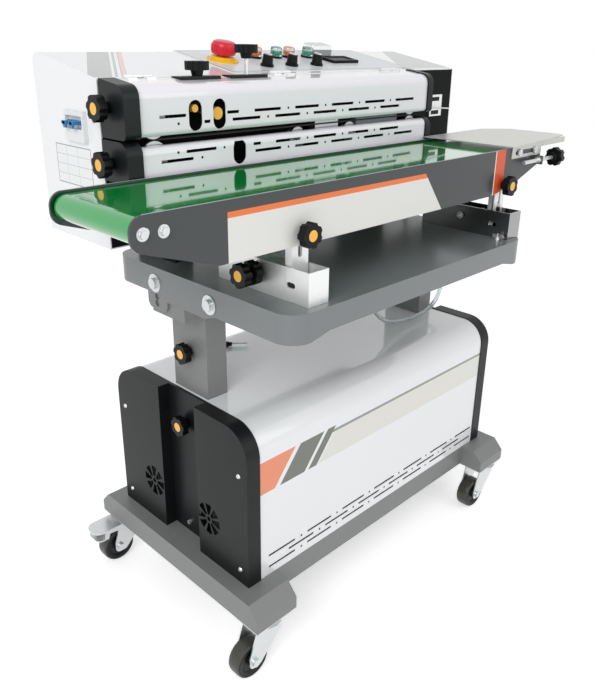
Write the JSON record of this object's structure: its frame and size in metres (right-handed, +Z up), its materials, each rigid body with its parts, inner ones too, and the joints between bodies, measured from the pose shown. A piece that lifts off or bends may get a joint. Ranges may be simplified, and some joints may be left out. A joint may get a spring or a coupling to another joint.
{
  "type": "continuous vacuum sealer",
  "caption": "Castored band sealer: cabinet with vacuum pump, lifting columns, tilting tray, sealing head with slotted covers, side conveyor and feed table.",
  "frame": {"origin": "on the floor, midway between the four casters, below the middle of the cabinet", "axes": "+X along the conveyor from the outfeed to the infeed, +Y to the back, +Z up"},
  "size_m": [1.172, 0.586, 1.1122],
  "materials": {
    "grey_frame_paint": "satin",
    "white_sheet_paint": "gloss",
    "black_cover_paint": "satin",
    "conveyor_paint": "satin",
    "zinc_plated_steel": "satin",
    "stainless_sheet": "bright",
    "caster_tread": "matte",
    "green_belt": "gloss",
    "knob_plastic": "moulded",
    "red_plastic": "moulded",
    "orange_plastic": "moulded",
    "green_plastic": "moulded",
    "blue_plastic": "moulded",
    "panel_film": "satin",
    "pump_casting": "cast",
    "seal_brass": "machined",
    "seal_band_film": "woven glass and resin",
    "wheel_aluminium": "turned",
    "clear_hose": "clear PVC"
  },
  "bodies": {
    "base": {"base_frame": "grey_frame_paint", "cabinet_left_cover": "black_cover_paint", "cabinet_right_cover": "black_cover_paint", "cabinet_front_wrap": "white_sheet_paint", "cabinet_back_wrap": "white_sheet_paint", "vacuum_pump": "pump_casting"},
    "lift": {"lift_frame": "grey_frame_paint"},
    "deck": {"tray": "grey_frame_paint", "outer_rails": "stainless_sheet", "head_casing": "white_sheet_paint", "head_front_plate": "black_cover_paint", "control_panel": "panel_film", "seal_bands": "seal_band_film", "seal_blocks": "seal_brass", "lower_cover": "white_sheet_paint", "vacuum_hose": "clear_hose"},
    "carriage": {"sliding_rails": "stainless_sheet"},
    "conveyor": {"conveyor_frame": "conveyor_paint", "conveyor_belt": "green_belt"},
    "fork_front_left": {"caster_fork_front_left": "zinc_plated_steel"},
    "wheel_front_left": {"caster_wheel_front_left": "caster_tread"},
    "fork_front_right": {"caster_fork_front_right": "zinc_plated_steel"},
    "wheel_front_right": {"caster_wheel_front_right": "caster_tread"},
    "fork_back_left": {"caster_fork_back_left": "zinc_plated_steel"},
    "wheel_back_left": {"caster_wheel_back_left": "caster_tread"},
    "pedal_back_left": {"brake_pedal_back_left": "zinc_plated_steel"},
    "fork_back_right": {"caster_fork_back_right": "zinc_plated_steel"},
    "wheel_back_right": {"caster_wheel_back_right": "caster_tread"},
    "pedal_back_right": {"brake_pedal_back_right": "zinc_plated_steel"},
    "outfeed_roller": {"outfeed_roller": "zinc_plated_steel"},
    "infeed_roller": {"infeed_roller": "zinc_plated_steel"},
    "feed_table": {"feed_table": "stainless_sheet"},
    "upper_cover": {"upper_cover": "white_sheet_paint"},
    "upper_band_wheel_left": {"upper_band_wheel_left": "wheel_aluminium"},
    "lower_band_wheel_left": {"lower_band_wheel_left": "wheel_aluminium"},
    "upper_band_wheel_right": {"upper_band_wheel_right": "wheel_aluminium"},
    "lower_band_wheel_right": {"lower_band_wheel_right": "wheel_aluminium"},
    "press_wheel_left": {"press_wheel_left": "wheel_aluminium"},
    "press_wheel_right": {"press_wheel_right": "wheel_aluminium"},
    "emergency_stop": {"emergency_stop": "red_plastic"},
    "dial_left": {"dial_left": "knob_plastic"},
    "dial_middle": {"dial_middle": "knob_plastic"},
    "dial_right": {"dial_right": "knob_plastic"},
    "button_orange_left": {"button_orange_left": "orange_plastic"},
    "button_green_left": {"button_green_left": "green_plastic"},
    "button_orange_right": {"button_orange_right": "orange_plastic"},
    "button_green_right": {"button_green_right": "green_plastic"},
    "breaker_toggle": {"breaker_toggle": "blue_plastic"},
    "column_knob": {"column_knob": "knob_plastic"},
    "channel_knob": {"channel_knob": "knob_plastic"},
    "rail_knob": {"rail_knob": "knob_plastic"},
    "post_knob_left": {"post_knob_left": "knob_plastic"},
    "post_knob_right": {"post_knob_right": "knob_plastic"},
    "upper_end_knob": {"upper_end_knob": "knob_plastic"},
    "lower_end_knob": {"lower_end_knob": "knob_plastic"},
    "pressure_knob_low": {"pressure_knob_low": "knob_plastic"},
    "pressure_knob_tall": {"pressure_knob_tall": "knob_plastic"},
    "adjuster_left": {"adjuster_left": "orange_plastic"},
    "adjuster_right": {"adjuster_right": "orange_plastic"},
    "tension_knob": {"tension_knob": "knob_plastic"}
  },
  "joints": [
    {"name": "front_left_swivel", "type": "hinge", "parent": "base", "child": "fork_front_left", "pos_m": [-0.378, -0.229, 0.1], "axis": [0, 0, 1], "continuous": true},
    {"name": "front_left_wheel_spin", "type": "hinge", "parent": "fork_front_left", "child": "wheel_front_left", "pos_m": [-0.418, -0.229, 0.0375], "axis": [0, 1, 0], "continuous": true},
    {"name": "front_right_swivel", "type": "hinge", "parent": "base", "child": "fork_front_right", "pos_m": [0.378, -0.229, 0.1], "axis": [0, 0, 1], "continuous": true},
    {"name": "front_right_wheel_spin", "type": "hinge", "parent": "fork_front_right", "child": "wheel_front_right", "pos_m": [0.338, -0.229, 0.0375], "axis": [0, 1, 0], "continuous": true},
    {"name": "back_left_swivel", "type": "hinge", "parent": "base", "child": "fork_back_left", "pos_m": [-0.378, 0.229, 0.1], "axis": [0, 0, 1], "continuous": true},
    {"name": "back_left_wheel_spin", "type": "hinge", "parent": "fork_back_left", "child": "wheel_back_left", "pos_m": [-0.418, 0.229, 0.0375], "axis": [0, 1, 0], "continuous": true},
    {"name": "back_left_brake", "type": "hinge", "parent": "fork_back_left", "child": "pedal_back_left", "pos_m": [-0.405, 0.229, 0.0907], "axis": [0, -1, 0], "range_deg": [0, 10]},
    {"name": "back_right_swivel", "type": "hinge", "parent": "base", "child": "fork_back_right", "pos_m": [0.378, 0.229, 0.1], "axis": [0, 0, 1], "continuous": true},
    {"name": "back_right_wheel_spin", "type": "hinge", "parent": "fork_back_right", "child": "wheel_back_right", "pos_m": [0.338, 0.229, 0.0375], "axis": [0, 1, 0], "continuous": true},
    {"name": "back_right_brake", "type": "hinge", "parent": "fork_back_right", "child": "pedal_back_right", "pos_m": [0.351, 0.229, 0.0907], "axis": [0, -1, 0], "range_deg": [0, 10]},
    {"name": "column_lift", "type": "slide", "parent": "base", "child": "lift", "axis": [0, 0, 1], "range_m": [0, 0.12]},
    {"name": "tray_tilt", "type": "hinge", "parent": "lift", "child": "deck", "pos_m": [0, -0.128, 0.708], "axis": [-1, 0, 0], "range_deg": [0, 4.8]},
    {"name": "conveyor_depth", "type": "slide", "parent": "deck", "child": "carriage", "axis": [0, -1, 0], "range_m": [0, 0.08]},
    {"name": "conveyor_height", "type": "slide", "parent": "carriage", "child": "conveyor", "axis": [0, 0, 1], "range_m": [-0.025, 0.02]},
    {"name": "outfeed_roller_spin", "type": "hinge", "parent": "conveyor", "child": "outfeed_roller", "pos_m": [-0.604, -0.17, 0.892], "axis": [0, 1, 0], "continuous": true},
    {"name": "infeed_roller_spin", "type": "hinge", "parent": "conveyor", "child": "infeed_roller", "pos_m": [0.378, -0.17, 0.892], "axis": [0, 1, 0], "continuous": true},
    {"name": "feed_table_slide", "type": "slide", "parent": "conveyor", "child": "feed_table", "axis": [1, 0, 0], "range_m": [-0.008, 0.008]},
    {"name": "upper_cover_hinge", "type": "hinge", "parent": "deck", "child": "upper_cover", "pos_m": [0, 0.0045, 1.059], "axis": [-1, 0, 0], "range_deg": [0, 60]},
    {"name": "upper_band_wheel_left_spin", "type": "hinge", "parent": "deck", "child": "upper_band_wheel_left", "pos_m": [-0.426, -0.027, 0.9915], "axis": [0, 1, 0], "continuous": true},
    {"name": "lower_band_wheel_left_spin", "type": "hinge", "parent": "deck", "child": "lower_band_wheel_left", "pos_m": [-0.426, -0.027, 0.939], "axis": [0, 1, 0], "continuous": true},
    {"name": "upper_band_wheel_right_spin", "type": "hinge", "parent": "deck", "child": "upper_band_wheel_right", "pos_m": [0.237, -0.027, 0.9915], "axis": [0, 1, 0], "continuous": true},
    {"name": "lower_band_wheel_right_spin", "type": "hinge", "parent": "deck", "child": "lower_band_wheel_right", "pos_m": [0.237, -0.027, 0.939], "axis": [0, 1, 0], "continuous": true},
    {"name": "press_wheel_left_spin", "type": "hinge", "parent": "deck", "child": "press_wheel_left", "pos_m": [-0.107, -0.027, 0.9437], "axis": [0, 1, 0], "continuous": true},
    {"name": "press_wheel_right_spin", "type": "hinge", "parent": "deck", "child": "press_wheel_right", "pos_m": [0.039, -0.027, 0.9437], "axis": [0, 1, 0], "continuous": true},
    {"name": "emergency_stop_push", "type": "slide", "parent": "deck", "child": "emergency_stop", "axis": [0, 0.184, -0.9829], "range_m": [0, 0.004]},
    {"name": "dial_left_turn", "type": "hinge", "parent": "deck", "child": "dial_left", "pos_m": [-0.096, 0.06206, 1.06612], "axis": [0, -0.184, 0.9829], "range_deg": [-135, 135]},
    {"name": "dial_middle_turn", "type": "hinge", "parent": "deck", "child": "dial_middle", "pos_m": [-0.03, 0.06206, 1.06612], "axis": [0, -0.184, 0.9829], "range_deg": [-135, 135]},
    {"name": "dial_right_turn", "type": "hinge", "parent": "deck", "child": "dial_right", "pos_m": [0.041, 0.06206, 1.06612], "axis": [0, -0.184, 0.9829], "range_deg": [-135, 135]},
    {"name": "button_orange_left_push", "type": "slide", "parent": "deck", "child": "button_orange_left", "axis": [0, 0.184, -0.9829], "range_m": [0, 0.0025], "stiffness_N_per_m": 500, "springref_m": -0.001},
    {"name": "button_green_left_push", "type": "slide", "parent": "deck", "child": "button_green_left", "axis": [0, 0.184, -0.9829], "range_m": [0, 0.0025], "stiffness_N_per_m": 500, "springref_m": -0.001},
    {"name": "button_orange_right_push", "type": "slide", "parent": "deck", "child": "button_orange_right", "axis": [0, 0.184, -0.9829], "range_m": [0, 0.0025], "stiffness_N_per_m": 500, "springref_m": -0.001},
    {"name": "button_green_right_push", "type": "slide", "parent": "deck", "child": "button_green_right", "axis": [0, 0.184, -0.9829], "range_m": [0, 0.0025], "stiffness_N_per_m": 500, "springref_m": -0.001},
    {"name": "breaker_toggle_flip", "type": "hinge", "parent": "deck", "child": "breaker_toggle", "pos_m": [-0.498, 0.076, 0.988], "axis": [0, -1, 0], "range_deg": [0, 35]},
    {"name": "column_knob_turn", "type": "hinge", "parent": "lift", "child": "column_knob", "pos_m": [-0.352, 0, 0.569], "axis": [1, 0, 0], "continuous": true},
    {"name": "channel_knob_turn", "type": "hinge", "parent": "base", "child": "channel_knob", "pos_m": [-0.367, 0, 0.421], "axis": [1, 0, 0], "continuous": true},
    {"name": "rail_knob_turn", "type": "hinge", "parent": "deck", "child": "rail_knob", "pos_m": [-0.352, -0.198, 0.7732], "axis": [1, 0, 0], "continuous": true},
    {"name": "post_knob_left_turn", "type": "hinge", "parent": "conveyor", "child": "post_knob_left", "pos_m": [-0.33, -0.27, 0.844], "axis": [0, 1, 0], "continuous": true},
    {"name": "post_knob_right_turn", "type": "hinge", "parent": "conveyor", "child": "post_knob_right", "pos_m": [0.253, -0.27, 0.844], "axis": [0, 1, 0], "continuous": true},
    {"name": "upper_end_knob_turn", "type": "hinge", "parent": "upper_cover", "child": "upper_end_knob", "pos_m": [-0.493, -0.016, 1.016], "axis": [1, 0, 0], "continuous": true},
    {"name": "lower_end_knob_turn", "type": "hinge", "parent": "deck", "child": "lower_end_knob", "pos_m": [-0.493, -0.016, 0.933], "axis": [1, 0, 0], "continuous": true},
    {"name": "pressure_knob_low_turn", "type": "hinge", "parent": "upper_cover", "child": "pressure_knob_low", "pos_m": [-0.32, -0.013, 1.06], "axis": [0, 0, 1], "continuous": true},
    {"name": "pressure_knob_tall_turn", "type": "hinge", "parent": "upper_cover", "child": "pressure_knob_tall", "pos_m": [-0.213, -0.013, 1.06], "axis": [0, 0, 1], "continuous": true},
    {"name": "adjuster_left_turn", "type": "hinge", "parent": "deck", "child": "adjuster_left", "pos_m": [-0.357, -0.02, 1.011], "axis": [0, 1, 0], "continuous": true},
    {"name": "adjuster_right_turn", "type": "hinge", "parent": "deck", "child": "adjuster_right", "pos_m": [-0.311, -0.02, 1.001], "axis": [0, 1, 0], "continuous": true},
    {"name": "tension_knob_turn", "type": "hinge", "parent": "conveyor", "child": "tension_knob", "pos_m": [0.43, -0.282, 0.884], "axis": [1, 0, 0], "continuous": true}
  ],
  "couplings": [
    {"joint": "infeed_roller_spin", "follows": "outfeed_roller_spin", "ratio": 1},
    {"joint": "lower_band_wheel_right_spin", "follows": "lower_band_wheel_left_spin", "ratio": 1},
    {"joint": "upper_band_wheel_left_spin", "follows": "lower_band_wheel_left_spin", "ratio": -1},
    {"joint": "upper_band_wheel_right_spin", "follows": "lower_band_wheel_left_spin", "ratio": -1},
    {"joint": "press_wheel_left_spin", "follows": "lower_band_wheel_left_spin", "ratio": 1.25},
    {"joint": "press_wheel_right_spin", "follows": "lower_band_wheel_left_spin", "ratio": 1.25}
  ]
}
